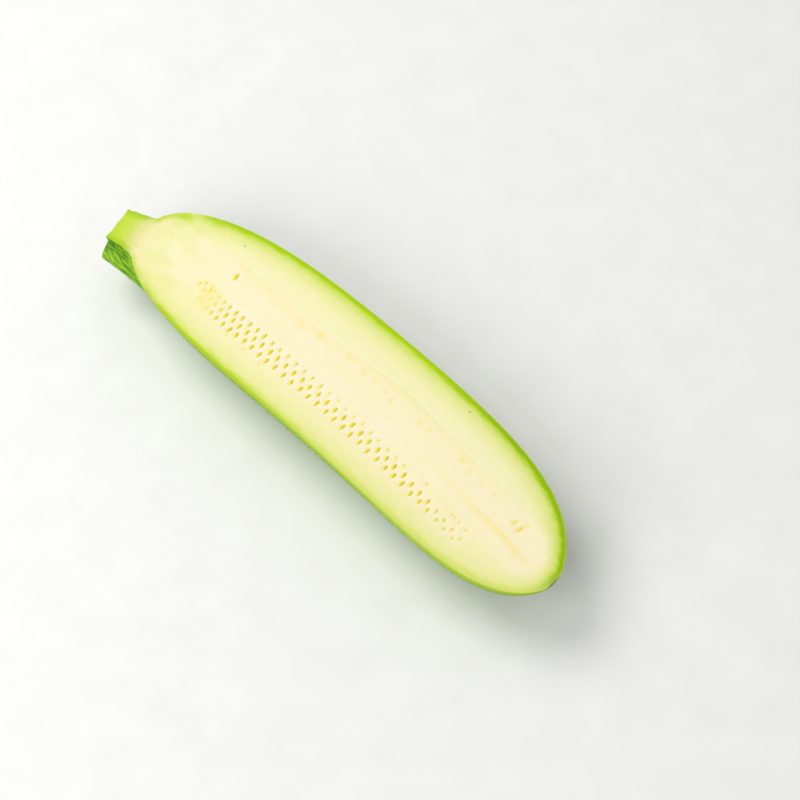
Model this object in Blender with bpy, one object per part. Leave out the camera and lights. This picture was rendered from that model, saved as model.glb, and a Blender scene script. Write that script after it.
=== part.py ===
"""Half a zucchini with its half stem, cut lengthwise and lying on its skin with the cut face up.

Metres, +Z up. +X runs from the stem to the blossom end, and the fruit bows towards +Y. The origin
is under the middle of the object, on the surface that it lies on.
"""

import math
import random

import bmesh
import bpy
from mathutils import Matrix, Vector

MM = 0.001
MERGE_DISTANCE = 0.001 * MM

# The fruit's outline on the cut: half width = HALF_WIDTH * (1 - reach ** FULLNESS) ** ROUNDNESS,
# where reach goes from 0 at the widest section to 1 at either end
HALF_WIDTH = 27.75 * MM
WIDEST_X = -5.55 * MM
STEM_REACH, STEM_FULLNESS, STEM_ROUNDNESS = 94.35 * MM, 3.087, 0.4195
BLOSSOM_REACH, BLOSSOM_FULLNESS, BLOSSOM_ROUNDNESS = 118.0 * MM, 5.493, 0.618

# The bow of the fruit's centre line
AXIS_Y = 0.92 * MM
BOW = 6.94 * MM
BOW_SKEW = 1.5 * MM

# Soft lengthwise facets of the skin, deeper at the stem's shoulder
FACETS = 5
FACET_TURN = math.radians(20)
FACET_DEPTH = 0.010
SHOULDER_DEPTH = 0.022
SHOULDER_LENGTH = 22 * MM

# The knife passed a little below the axis. The skin rests on a small flat
CUT_DROP = 2.0 * MM
REST_DEPTH = 0.6 * MM
AXIS_Z = HALF_WIDTH - REST_DEPTH
CUT_Z = AXIS_Z - CUT_DROP
FRUIT_RINGS = 60
FRUIT_SIDES = 48
FRUIT_SHARP = math.radians(35)

# The blossom-end scar: a shallow round recess
SCAR_RADIUS = 3.8 * MM
SCAR_LIP = 0.75
SCAR_DEPTH = 0.6 * MM

# The stem: a five-ridged prism, cut off at a slant, that flares onto the fruit
STEM_RIDGES = 5
RIDGE_ANGLE = math.radians(165)
STEM_END_X = -108.88 * MM
STEM_END_SLANT = -0.25
STEM_END_DISH = 0.8 * MM
STEM_END_CENTRE = (-10.2 * MM, CUT_Z - 5.9 * MM)
STEM_BASE_CENTRE = (-7.4 * MM, CUT_Z - 3.9 * MM)
STEM_END_VALLEY, STEM_END_RIDGE = 6.9 * MM, 11.4 * MM
STEM_BASE_VALLEY, STEM_BASE_RIDGE = 10.4 * MM, 14.0 * MM
STEM_FLARE = 1.4
SEAT_ROUNDS = 6
STEM_RINGS = 10
STEM_SIDES = 60
STEM_CAP_RINGS = 9
STEM_SHARP = math.radians(45)
GAP = 0.3 * MM

# The seeds: three staggered rows along a band that bends with the fruit, and one seed on its own.
# They stand closer at the stem: the pitch opens up over the first SEED_OPENING seeds or so
SEED_START_X, SEED_END_X = -61.7 * MM, 78.5 * MM
SEED_START_PITCH, SEED_END_PITCH = 2.16 * MM, 4.59 * MM
SEED_OPENING = 6.2
SEED_ROWS = 3
SEED_START_GAP, SEED_END_GAP = 3.3 * MM, 2.2 * MM
SEED_TOP_ROW_END_X = 3.5 * MM
SEED_BAND_X, SEED_BAND_Y = -48.55 * MM, -9.95 * MM
SEED_RISE, SEED_FALL = 1.6 * MM, 7.7 * MM
SEED_LENGTH, SEED_WIDTH = 2.7 * MM, 1.45 * MM
SEED_PROUD, SEED_CROWN = 0.45 * MM, 0.5
SEED_RIM_HEIGHT = 0.08 * MM
SEED_ROOT, SEED_ROOT_TAPER = 1.0 * MM, 0.6
SEED_SIDES = 8
SEED_TAPER = 16 * MM
SEED_END_SIZE = 0.6
SEED_SHAKE, SEED_SIZE_SHAKE = 0.22 * MM, 0.06
SEED_TILT = math.radians(9)
LONE_SEED = (-58.75 * MM, 4.45 * MM)
LONE_SEED_SIZE = 1.25
RANDOM_SEED = 5


def clear_scene():
    for old in list(bpy.data.objects):
        bpy.data.objects.remove(old, do_unlink=True)


def plant_material(name, colour, roughness):
    material = bpy.data.materials.new(name)
    material.use_nodes = True
    shader = material.node_tree.nodes["Principled BSDF"]
    shader.inputs["Base Color"].default_value = (*colour, 1)
    shader.inputs["Roughness"].default_value = roughness
    material.diffuse_color = (*colour, 1)
    return material


def half_width(x):
    """The fruit's half width at x, on the cut."""
    if x < WIDEST_X:
        reach, fullness, roundness = (WIDEST_X - x) / STEM_REACH, STEM_FULLNESS, STEM_ROUNDNESS
    else:
        reach = (x - WIDEST_X) / BLOSSOM_REACH
        fullness, roundness = BLOSSOM_FULLNESS, BLOSSOM_ROUNDNESS
    return HALF_WIDTH * (1 - min(reach, 1) ** fullness) ** roundness


def reach_of(radius, reach, fullness, roundness):
    """How far from the widest section an end of the fruit has the given half width."""
    return reach * (1 - (radius / HALF_WIDTH) ** (1 / roundness)) ** (1 / fullness)


def axis_y(x):
    """The fruit's centre line, which bows in the plane of the cut."""
    along = (x - WIDEST_X) / BLOSSOM_REACH
    return AXIS_Y - BOW * along**2 - BOW_SKEW * along**3


def facet(x, angle):
    """The factor on the skin's radius that makes the soft facets."""
    shoulder = math.exp(-(x - WIDEST_X + STEM_REACH) / SHOULDER_LENGTH)
    depth = FACET_DEPTH + SHOULDER_DEPTH * shoulder
    return 1 + depth * math.cos(FACETS * (angle - FACET_TURN))


def ring(x, centre_y, centre_z, sides, radius_at):
    """A ring of points round an axis along X. Angle 0 is +Y, and a quarter turn on is straight down."""
    points = []
    for side in range(sides):
        angle = math.tau * side / sides
        radius = radius_at(angle)
        points.append(Vector((x, centre_y + radius * math.cos(angle), centre_z - radius * math.sin(angle))))
    return points


def loft(rings, first_tip, last_tip):
    """A closed skin through rings of points, shut by a fan to a point at either end."""
    body = bmesh.new()
    rows = [[body.verts.new(point) for point in points] for points in rings]
    sides = len(rows[0])
    for near, far in zip(rows, rows[1:]):
        for side in range(sides):
            after = (side + 1) % sides
            body.faces.new((near[side], near[after], far[after], far[side]))
    start, end = body.verts.new(first_tip), body.verts.new(last_tip)
    for side in range(sides):
        after = (side + 1) % sides
        body.faces.new((start, rows[0][after], rows[0][side]))
        body.faces.new((end, rows[-1][side], rows[-1][after]))
    bmesh.ops.recalc_face_normals(body, faces=body.faces)
    return body


def slice_off(body, height, up, material_index):
    """Takes off what lies above (up = 1) or below (up = -1) a level, and closes the cut flat."""
    cut = bmesh.ops.bisect_plane(
        body,
        geom=body.verts[:] + body.edges[:] + body.faces[:],
        dist=MERGE_DISTANCE,
        plane_co=(0, 0, height),
        plane_no=(0, 0, up),
        clear_outer=True,
    )
    edges = [item for item in cut["geom_cut"] if isinstance(item, bmesh.types.BMEdge)]
    for face in bmesh.ops.edgeloop_fill(body, edges=edges)["faces"]:
        face.material_index = material_index
    bmesh.ops.recalc_face_normals(body, faces=body.faces)


def add_object(name, body, materials):
    mesh = bpy.data.meshes.new(name)
    body.to_mesh(mesh)
    body.free()
    for material in materials:
        mesh.materials.append(material)
    made = bpy.data.objects.new(name, mesh)
    bpy.context.scene.collection.objects.link(made)
    return made


def shade(made, sharp_angle):
    made.data.shade_smooth()
    made.data.set_sharp_from_angle(angle=sharp_angle)


def fruit_body():
    """The fruit before its seeds: a lofted body with a scar at its blossom end, halved and rested."""
    first_x = WIDEST_X - STEM_REACH
    last_x = WIDEST_X + reach_of(SCAR_RADIUS, BLOSSOM_REACH, BLOSSOM_FULLNESS, BLOSSOM_ROUNDNESS)
    middle, span = (first_x + last_x) / 2, (last_x - first_x) / 2
    rings = []
    for step in range(1, FRUIT_RINGS + 1):
        x = middle - span * math.cos(math.pi * step / FRUIT_RINGS)
        width = half_width(x)
        rings.append(ring(x, axis_y(x), AXIS_Z, FRUIT_SIDES, lambda angle: width * facet(x, angle)))
    lip_x = last_x - SCAR_DEPTH * SCAR_LIP
    rings.append(ring(lip_x, axis_y(last_x), AXIS_Z, FRUIT_SIDES, lambda angle: SCAR_RADIUS * SCAR_LIP))
    stem_tip = (first_x, axis_y(first_x), AXIS_Z)
    scar_centre = (last_x - SCAR_DEPTH, axis_y(last_x), AXIS_Z)
    body = loft(rings, stem_tip, scar_centre)
    slice_off(body, CUT_Z, 1, 1)
    slice_off(body, 0, -1, 0)
    return body


def band_y(x):
    """The middle of the seed band, which rises towards the stem and falls towards the blossom end."""
    if x < SEED_BAND_X:
        return SEED_BAND_Y + SEED_RISE * ((SEED_BAND_X - x) / (SEED_BAND_X - SEED_START_X)) ** 2
    return SEED_BAND_Y - SEED_FALL * ((x - SEED_BAND_X) / (SEED_END_X - SEED_BAND_X)) ** 3


def seed_x(number):
    """Where a seed stands along its row. Every second row is half a number on."""
    opened = SEED_OPENING * (1 - math.exp(-number / SEED_OPENING))
    return SEED_START_X + SEED_END_PITCH * number - (SEED_END_PITCH - SEED_START_PITCH) * opened


def seed_places():
    """(x, y, tilt, size) of every seed on the cut."""
    draw = random.Random(RANDOM_SEED)
    places = []
    for row in range(SEED_ROWS):
        end = SEED_END_X if row < SEED_ROWS - 1 else SEED_TOP_ROW_END_X
        number = (row % 2) / 2
        while seed_x(number) < end:
            x = seed_x(number)
            along = (x - SEED_START_X) / (SEED_END_X - SEED_START_X)
            gap = SEED_START_GAP + (SEED_END_GAP - SEED_START_GAP) * along**3
            shift_x, shift_y = (draw.uniform(-SEED_SHAKE, SEED_SHAKE) for _ in range(2))
            tilt = draw.uniform(-SEED_TILT, SEED_TILT)
            inner = min(min(x - SEED_START_X, SEED_END_X - x) / SEED_TAPER, 1)
            size = SEED_END_SIZE + (1 - SEED_END_SIZE) * inner
            size += draw.uniform(-SEED_SIZE_SHAKE, SEED_SIZE_SHAKE)
            y = band_y(x) + (row - (SEED_ROWS - 1) / 2) * gap
            places.append((x + shift_x, y + shift_y, tilt, size))
            number += 1
    places.append((*LONE_SEED, SEED_TILT, LONE_SEED_SIZE))
    return places


def seed_body(x, y, tilt, size):
    """A low lens, long across the fruit, with its root sunk in the flesh."""
    levels = ((-SEED_ROOT, SEED_ROOT_TAPER), (SEED_RIM_HEIGHT, 1), (SEED_PROUD, SEED_CROWN))
    place = Matrix.Translation((x, y, CUT_Z)) @ Matrix.Rotation(tilt, 4, "Z")
    body = bmesh.new()
    rows = []
    for height, scale in levels:
        across, along = SEED_WIDTH / 2 * size * scale, SEED_LENGTH / 2 * size * scale
        turns = [math.tau * (side + 0.5) / SEED_SIDES for side in range(SEED_SIDES)]
        points = [Vector((across * math.cos(turn), along * math.sin(turn), height)) for turn in turns]
        rows.append([body.verts.new(place @ point) for point in points])
    for low, high in zip(rows, rows[1:]):
        for side in range(SEED_SIDES):
            after = (side + 1) % SEED_SIDES
            body.faces.new((low[side], low[after], high[after], high[side]))
    body.faces.new(rows[0][::-1])
    body.faces.new(rows[-1])
    return body


def fuse_seeds(fruit, seed_material):
    """Joins every seed to the fruit in one union."""
    seeds = bpy.data.collections.new("seeds")
    bpy.context.scene.collection.children.link(seeds)
    for place in seed_places():
        seed = add_object("seed", seed_body(*place), [seed_material])
        bpy.context.scene.collection.objects.unlink(seed)
        seeds.objects.link(seed)
    union = fruit.modifiers.new("seeds", "BOOLEAN")
    union.operation = "UNION"
    union.operand_type = "COLLECTION"
    union.collection = seeds
    union.solver = "EXACT"
    union.material_mode = "TRANSFER"
    graph = bpy.context.evaluated_depsgraph_get()
    fused = bpy.data.meshes.new_from_object(fruit.evaluated_get(graph))
    fruit.modifiers.clear()
    fruit.data = fused
    for seed in list(seeds.objects):
        bpy.data.objects.remove(seed, do_unlink=True)
    bpy.data.collections.remove(seeds)


def seat_x(y, z):
    """Where the fruit's own surface lies at (y, z), on its stem side, found in a few rounds."""
    x = WIDEST_X - STEM_REACH
    for _ in range(SEAT_ROUNDS):
        off_y, off_z = y - axis_y(x), AXIS_Z - z
        radius = math.hypot(off_y, off_z) / facet(x, math.atan2(off_z, off_y))
        x = WIDEST_X - reach_of(radius, STEM_REACH, STEM_FULLNESS, STEM_ROUNDNESS)
    return x


def stem_ring(along, scale):
    """A ring round the stem, from its cut end (along = 0) to its base, shrunk by scale for the caps.

    Each point lies between the slanted, dished end and the fruit's own surface, less the gap.
    """
    flare = along**STEM_FLARE
    centre_y = STEM_END_CENTRE[0] + (STEM_BASE_CENTRE[0] - STEM_END_CENTRE[0]) * along
    centre_z = STEM_END_CENTRE[1] + (STEM_BASE_CENTRE[1] - STEM_END_CENTRE[1]) * along
    valley = STEM_END_VALLEY + (STEM_BASE_VALLEY - STEM_END_VALLEY) * flare
    ridge = STEM_END_RIDGE + (STEM_BASE_RIDGE - STEM_END_RIDGE) * flare

    def radius_at(angle):
        crest = 0.5 + 0.5 * math.cos(STEM_RIDGES * (angle - RIDGE_ANGLE))
        return scale * (valley + (ridge - valley) * crest)

    points = ring(0, centre_y, centre_z, STEM_SIDES, radius_at)
    for point in points:
        end_x = STEM_END_X + STEM_END_SLANT * (point.y - STEM_END_CENTRE[0]) + STEM_END_DISH * (1 - scale)
        point.x = end_x + (seat_x(point.y, point.z) - GAP - end_x) * along
    return points


def stem_body():
    """The whole stem, from the middle of its cut end to the middle of its seat, then halved."""
    shrunk = [(step + 1) / (STEM_CAP_RINGS + 1) for step in range(STEM_CAP_RINGS)]
    rings = [stem_ring(0, scale) for scale in shrunk]
    rings += [stem_ring(step / STEM_RINGS, 1) for step in range(STEM_RINGS + 1)]
    rings += [stem_ring(1, scale) for scale in reversed(shrunk)]
    body = loft(rings, stem_ring(0, 0)[0], stem_ring(1, 0)[0])
    slice_off(body, CUT_Z, 1, 1)
    return body


def main():
    clear_scene()
    skin = plant_material("skin", (0.13, 0.30, 0.012), 0.38)
    flesh = plant_material("flesh", (0.90, 0.89, 0.52), 0.45)
    seed = plant_material("seed", (0.86, 0.66, 0.20), 0.4)
    rind = plant_material("stem rind", (0.10, 0.33, 0.015), 0.5)
    pith = plant_material("stem pith", (0.55, 0.74, 0.09), 0.55)

    fruit = add_object("fruit", fruit_body(), [skin, flesh])
    fuse_seeds(fruit, seed)
    shade(fruit, FRUIT_SHARP)
    stem = add_object("stem", stem_body(), [rind, pith])
    shade(stem, STEM_SHARP)


main()
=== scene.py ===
import math
import random
from collections import namedtuple
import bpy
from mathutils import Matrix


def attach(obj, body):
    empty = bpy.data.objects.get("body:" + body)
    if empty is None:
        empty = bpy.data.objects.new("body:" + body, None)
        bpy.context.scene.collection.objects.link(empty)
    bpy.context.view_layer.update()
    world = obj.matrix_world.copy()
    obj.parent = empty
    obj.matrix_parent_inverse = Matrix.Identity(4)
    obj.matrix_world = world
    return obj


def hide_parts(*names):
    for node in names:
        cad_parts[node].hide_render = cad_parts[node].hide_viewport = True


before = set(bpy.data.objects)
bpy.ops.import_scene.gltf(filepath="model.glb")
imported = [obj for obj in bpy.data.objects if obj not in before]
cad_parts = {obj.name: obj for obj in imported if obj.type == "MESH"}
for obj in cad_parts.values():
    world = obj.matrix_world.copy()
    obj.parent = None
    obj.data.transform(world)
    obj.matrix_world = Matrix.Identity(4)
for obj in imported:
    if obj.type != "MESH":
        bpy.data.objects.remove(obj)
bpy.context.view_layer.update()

from types import SimpleNamespace

import bpy
import numpy as np
from mathutils import Vector, kdtree, noise

MM = 0.001
QUARTER = math.pi / 2

# The solids' own dimensions, which the fine surfaces follow. A curve is a reach, a fullness and a roundness
HALF_WIDTH = 27.75 * MM
WIDEST_X = -5.55 * MM
STEM_REACH, BLOSSOM_REACH = 94.35 * MM, 118.0 * MM
STEM_CURVE = (STEM_REACH, 3.087, 0.4195)
BLOSSOM_CURVE = (BLOSSOM_REACH, 5.493, 0.618)
AXIS_Y, BOW, BOW_SKEW = 0.92 * MM, 6.94 * MM, 1.5 * MM
FACETS, FACET_TURN, FACET_DEPTH = 5, math.radians(20), 0.010
SHOULDER_DEPTH, SHOULDER_LENGTH = 0.022, 22 * MM
CUT_DROP, REST_DEPTH = 2.0 * MM, 0.6 * MM
AXIS_Z = HALF_WIDTH - REST_DEPTH
CUT_Z = AXIS_Z - CUT_DROP
SCAR_RADIUS, SCAR_DEPTH = 3.8 * MM, 0.6 * MM

STEM_RIDGES, RIDGE_ANGLE = 5, math.radians(165)
STEM_END_X, STEM_END_SLANT, STEM_END_DISH = -108.88 * MM, -0.25, 0.8 * MM
STEM_END_CENTRE = (-10.2 * MM, CUT_Z - 5.9 * MM)
STEM_BASE_CENTRE = (-7.4 * MM, CUT_Z - 3.9 * MM)
STEM_END_VALLEY, STEM_END_RIDGE = 6.9 * MM, 11.4 * MM
STEM_BASE_VALLEY, STEM_BASE_RIDGE = 10.4 * MM, 14.0 * MM
STEM_FLARE = 1.4
SEAT_ROUNDS = 6
HALVINGS = 40

SEED_START_X, SEED_END_X = -61.7 * MM, 78.5 * MM
SEED_START_PITCH, SEED_END_PITCH, SEED_OPENING = 2.16 * MM, 4.59 * MM, 6.2
SEED_ROWS = 3
SEED_START_GAP, SEED_END_GAP = 3.3 * MM, 2.2 * MM
SEED_TOP_ROW_END_X, FAINT_ROW_END_X = 3.5 * MM, 46 * MM
SEED_BAND_X, SEED_BAND_Y = -48.55 * MM, -9.95 * MM
SEED_RISE, SEED_FALL = 1.6 * MM, 7.7 * MM
SEED_TAPER, SEED_END_SIZE = 16 * MM, 0.6
SEED_SHAKE, SEED_SIZE_SHAKE = 0.22 * MM, 0.06
SEED_TILT = math.radians(9)
LONE_SEED, LONE_SEED_SIZE = (-58.75 * MM, 4.45 * MM), 1.25
RANDOM_SEED = 5

# The fine fruit surface. It lies a hair inside the solid's, and its cut face has a slight relief
FRUIT_STATIONS = 400
ARC_STEPS, FACE_STEPS = 92, 104
SKIN_INSET = 0.08 * MM
OUTLINE_STEP = 0.12 * MM
LIP_HEIGHT, LIP_WIDTH = 0.10 * MM, 0.7 * MM
DISH_DEPTH, DISH_START, DISH_END = 0.12 * MM, 2.0 * MM, 14.0 * MM
PIT_DEPTH, PIT_FLOOR, PIT_REACH = 0.14 * MM, 0.5 * MM, 1.7 * MM
FACE_BUMPS, FACE_BUMPS_START = ((0.045 * MM, 3.5), (0.02 * MM, 1.1)), 2 * MM
SCAR_STEPS, SCAR_FULLNESS, SCAR_TIP = 12, 4, 0.02 * MM
FIRST_RING, LAST_RING = 1.1, 1.08
SEED_STRETCH = 0.55
SHARP_ANGLE = math.radians(38)

# How many units of a texture one radian round the skin and round the stem takes
SKIN_TURN_SCALE, STEM_TURN_SCALE = 25, 9

# The fine stem surface. It is rooted a little in the fruit, where the solids keep a gap
STEM_ROOT = 0.35 * MM
SEAT_STEP, SEAT_LEVEL = 0.02 * MM, 4.0 * MM
STEM_STATIONS, STEM_ARC_STEPS, STEM_FACE_STEPS, STEM_CAP_STEPS = 70, 150, 60, 14
STEM_INSET = 0.05 * MM
STEM_RIBS, STEM_RIB_DEPTH = 53, 0.4 * MM
RIB_WAVER, RIB_WAVER_SCALES = 3, (2.5, 2.2)
RIB_SHALLOW, RIB_DEEPER = 0.45, 1.1
STEM_BUMPS, STEM_BUMP_SCALES = 0.3 * MM, (7, 9)
END_ROUGH_DEPTH, END_ROUGH_FADE = 0.25 * MM, 6
END_ROUGH_SCALE, END_ROUGH_SLICE = 0.7, 3.0

# The seeds' lenses. A young seed has less relief, and lies lower
LENS_RINGS, LENS_SIDES = 7, 22
LENS_HEIGHT, LENS_SKIRT, LENS_ROOT = 0.34 * MM, -0.22 * MM, -0.8 * MM
LENS_POINT, LENS_DOME, LENS_ROOT_SHARE = 1.35, 0.8, 0.6
LENS_LENGTH, LENS_WIDTH = 3.05 * MM, 1.38 * MM
YOUNG_LIFT, YOUNG_SINK = 0.12, 0.17 * MM

# How ripe and large the seeds are along the fruit: where a change starts and ends, and how much it takes off.
# The top row has two changes of its own
RIPENING, UNRIPE = (-60 * MM, -46 * MM), 0.12
PALING, PALING_LOSS = (40 * MM, 76 * MM), 0.3
SHRINKING, SHRINKING_LOSS = (57 * MM, 65 * MM), 0.35
TOP_RIPE, TOP_SHRINKING = 0.9, 0.25
TOP_FIRST, TOP_FIRST_LOSS = (-34 * MM, -24 * MM), 0.3
TOP_SECOND, TOP_SECOND_LOSS = (-4 * MM, SEED_TOP_ROW_END_X), 0.35
LONE_SEED_RIPE = 0.85
RIPE_RANGE, WIDTH_RANGE, LENGTH_RANGE = (0.8, 1), (0.88, 1.1), (0.92, 1.12)

Seed = namedtuple("Seed", "x y tilt length width ripe dark")

# Stray seeds on the cut: x, y, turn, length and width, in millimetres and degrees, then how ripe and how dark
STRAY_SEEDS = (
    (-64.6, -5.2, -8, 2.1, 1.2, 0.3, 0),
    (-66.4, -7.0, 12, 2.0, 1.1, 0.3, 0),
    (-63.0, -8.1, -10, 2.1, 1.2, 0.25, 0),
    (-61.2, -6.3, 4, 2.3, 1.2, 0.4, 0),
    (-42.4, -15.9, 8, 1.6, 1.0, 0.25, 0),
    (-33.7, -15.9, -6, 1.8, 1.1, 0.3, 0),
    (-24.9, -16.5, 0, 1.7, 1.0, 0.25, 0),
    (53.5, -9.8, 0, 1.8, 1.1, 0.25, 0),
    (68.4, -12.6, 0, 1.2, 0.7, 0.4, 0),
    (70.0, -12.5, 14, 1.1, 0.6, 0.35, 0),
    (72.2, -13.0, -8, 1.2, 0.7, 0.35, 0),
    (76.0, -13.6, 6, 1.2, 0.8, 0.3, 0),
    (89.3, 0.1, -13, 4.2, 1.0, 0.45, 0),
    (86.1, 0.7, -18, 2.2, 1.0, 0.3, 0),
    (-66.55, 16.45, 30, 0.8, 0.5, 1, 1),
    (43.95, 22.45, -60, 1.1, 0.6, 1, 1),
)

# Soft yellow spots just under the cut, along the vein and at its far end: x, y and radius in millimetres
SOFT_MARKS = (
    (-60.1, 9.6, 1.8), (-57.8, 9.4, 1.3), (-45.0, 8.8, 1.2), (-25.7, 6.6, 2.2), (-17.3, 8.4, 2.6),
    (-3.2, 8.6, 2.0), (4.7, 7.7, 2.2), (10.5, 8.0, 1.8), (16.4, 7.2, 1.9), (20.6, 6.5, 1.3),
    (34.2, 6.9, 2.2), (39.1, 6.5, 1.8), (55.8, 5.9, 2.2), (60.6, 4.5, 1.6), (67.5, 3.8, 1.6),
    (73.8, 3.8, 1.4),
    (88.9, -1.3, 1.9), (89.4, 0.6, 1.6), (90.0, 2.7, 1.5), (85.8, 0.2, 1.7), (86.5, 1.7, 1.2),
)

# The vein, in millimetres across from the centre line, and the two swells that make it wander: how far, where
# along the fruit and how wide. Then the pale line along the middle, and where the lines and the streak run
VEIN_ACROSS, VEIN_SWELLS = 10.0, ((-1.9, -28, 18), (1.9, 25, 18))
MIDDLE_ACROSS, MIDDLE_SLOPE = -3.0, -0.055
VEIN_START, VEIN_END, PALE_START, MIDDLE_END = -66.0, 84.0, -30.0, 60.0
STREAK_START, STREAK_END, STREAK_FADE = 40.0, 108.0, 20.0

# The light
FLOOR_SIZE = 4.0
SURROUND = 0.56
KEY_PLACE, KEY_SIZE, KEY_WATTS, KEY_COLOUR = (-0.9, -0.15, 1.1), 1.0, 11.0, (1.0, 0.99, 0.97)
FILL_PLACE, FILL_SIZE, FILL_WATTS, FILL_COLOUR = (-0.1, -1.15, 0.75), 1.0, 8.5, (0.98, 0.99, 1.0)

# How a tone shown on the cut becomes a shader's colour: the light's share, the sheen taken off, and the least
LIGHT_SHARE, SHEEN, DARKEST = 0.88, 0.02, 0.001

# The camera, at the photograph's own viewing angle
AIM = (22.65 * MM, 8.55 * MM, CUT_Z)
CAMERA_AZIMUTH, CAMERA_ELEVATION = math.radians(44.38), math.radians(58)
CAMERA_DISTANCE, CAMERA_LENS, CAMERA_SENSOR, CAMERA_NEAR = 814.4 * MM, 102.06, 36, 0.01

# Moist flesh lets a little light in
MOIST = {"Subsurface_Weight": 0.04, "Subsurface_Scale": 0.0015}

# A spot's edge fades between these shares of its radius
SPOT_OUTER, SPOT_INNER = 1.15, 0.55

# The tones shown across the rims of the cut, by millimetres in from the edge. The lighter tones at the very
# edge, out to the darker line of the cut skin, are a painted highlight where the edge catches the light
RIM_SPAN = 18.0
HIGH_RIM_STOPS = (
    (0.0, (178, 214, 20)),
    (0.4, (166, 203, 0)),
    (0.8, (170, 208, 0)),
    (1.2, (176, 212, 14)),
    (1.6, (186, 218, 40)),
    (2.2, (200, 226, 76)),
    (3.0, (214, 231, 112)),
    (4.0, (226, 235, 138)),
    (5.5, (236, 238, 156)),
    (7.5, (242, 242, 170)),
    (10.0, (248, 244, 187)),
    (14.0, (250, 245, 195)),
)
HIGH_END_RIM_STOPS = (
    (0.0, (170, 204, 20)),
    (0.5, (154, 189, 0)),
    (1.1, (146, 186, 0)),
    (1.6, (158, 197, 0)),
    (2.2, (184, 216, 54)),
    (3.0, (207, 227, 104)),
    (4.0, (224, 232, 134)),
    (5.5, (234, 236, 152)),
    (7.5, (241, 241, 171)),
    (10.0, (248, 244, 190)),
    (14.0, (249, 245, 197)),
)
LOW_RIM_STOPS = (
    (0.0, (196, 222, 60)),
    (0.2, (190, 216, 50)),
    (0.38, (172, 202, 30)),
    (0.6, (194, 220, 62)),
    (1.0, (204, 226, 86)),
    (1.4, (214, 230, 106)),
    (1.8, (222, 234, 122)),
    (2.4, (230, 236, 142)),
    (3.2, (237, 238, 158)),
    (4.5, (241, 240, 168)),
    (6.0, (244, 241, 174)),
    (9.0, (250, 243, 184)),
    (14.0, (252, 244, 192)),
)

# The tones shown across the stem's seat, from 12 mm before it to 12 mm past it
SEAT_START, SEAT_SPAN = -12.0, 24.0
SEAT_STOPS = (
    (0.0, (190, 219, 62)),
    (5.0, (201, 226, 73)),
    (7.0, (207, 227, 88)),
    (8.5, (213, 226, 106)),
    (10.5, (224, 227, 137)),
    (12.0, (232, 229, 156)),
    (13.0, (239, 232, 166)),
    (14.4, (246, 238, 177)),
    (20.0, (246, 239, 182)),
)

# The tones shown on the other surfaces, by the value of their noise
SKIN_STOPS = (
    (0.44, (88, 136, 0)),
    (0.58, (110, 158, 0)),
    (0.7, (130, 175, 4)),
    (0.84, (154, 194, 26)),
)
SCAR_STOPS = (
    (0.3, (112, 124, 44)),
    (0.5, (166, 166, 84)),
    (0.72, (206, 196, 130)),
)
RIND_STOPS = (
    (0.36, (74, 126, 0)),
    (0.45, (98, 148, 2)),
    (0.53, (120, 170, 18)),
    (0.61, (138, 188, 34)),
    (0.7, (164, 210, 74)),
)
FLOOR_STOPS = (
    (0.3, (244, 244, 242)),
    (0.7, (248, 248, 247)),
)

# The tones shown on a seed and on the stem's cut end, from the middle (0) to the edge (1)
SEED_STOPS = (
    (0.0, (236, 212, 0)),
    (0.5, (242, 224, 10)),
    (0.8, (247, 232, 50)),
    (1.0, (253, 241, 140)),
)
STEM_END_STOPS = (
    (0.0, (222, 224, 140)),
    (0.45, (208, 218, 112)),
    (0.62, (178, 198, 74)),
    (0.74, (198, 214, 94)),
    (0.86, (176, 202, 62)),
    (0.93, (116, 164, 22)),
    (1.0, (92, 142, 8)),
)


def half_width(x):
    """The fruit's half width at x, on the cut."""
    reach, fullness, roundness = STEM_CURVE if x < WIDEST_X else BLOSSOM_CURVE
    return HALF_WIDTH * (1 - min(abs(x - WIDEST_X) / reach, 1) ** fullness) ** roundness


def reach_of(radius, reach, fullness, roundness):
    """How far from the widest section an end of the fruit has the given half width."""
    return reach * (1 - (radius / HALF_WIDTH) ** (1 / roundness)) ** (1 / fullness)


def axis_y(x):
    """The fruit's centre line, which bows in the plane of the cut."""
    along = (x - WIDEST_X) / BLOSSOM_REACH
    return AXIS_Y - BOW * along**2 - BOW_SKEW * along**3


def facet(x, angle):
    """The factor on the skin's radius that makes the soft facets."""
    shoulder = math.exp(-(x - WIDEST_X + STEM_REACH) / SHOULDER_LENGTH)
    depth = FACET_DEPTH + SHOULDER_DEPTH * shoulder
    return 1 + depth * math.cos(FACETS * (angle - FACET_TURN))


def ease(value, low, high):
    """0 at low and below, 1 at high and above, and a smooth step between them."""
    share = min(max((value - low) / (high - low), 0), 1)
    return share * share * (3 - 2 * share)


def crossing(radius_at, drop, below, above):
    """The angle at which a ring crosses the cut, found by halving from an angle on either side of it."""
    for _ in range(HALVINGS):
        middle = (below + above) / 2
        if radius_at(middle) * math.sin(middle) < drop:
            below = middle
        else:
            above = middle
    return (below + above) / 2


def section(centre, radius_at, arc_steps, face_steps):
    """A half ring as (y, z, angle) points: down and round from the +Y edge of the cut, then back."""
    centre_y, centre_z = centre
    drop = centre_z - CUT_Z
    start = crossing(radius_at, drop, -QUARTER, QUARTER)
    end = crossing(radius_at, drop, 3 * QUARTER, QUARTER)
    points = []
    for step in range(arc_steps + 1):
        angle = start + (end - start) * step / arc_steps
        radius = radius_at(angle)
        points.append((centre_y + radius * math.cos(angle), centre_z - radius * math.sin(angle), angle))
    first_y, last_y = points[0][0], points[-1][0]
    for step in range(1, face_steps):
        points.append((last_y + (first_y - last_y) * step / face_steps, CUT_Z, 0))
    return points


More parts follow.
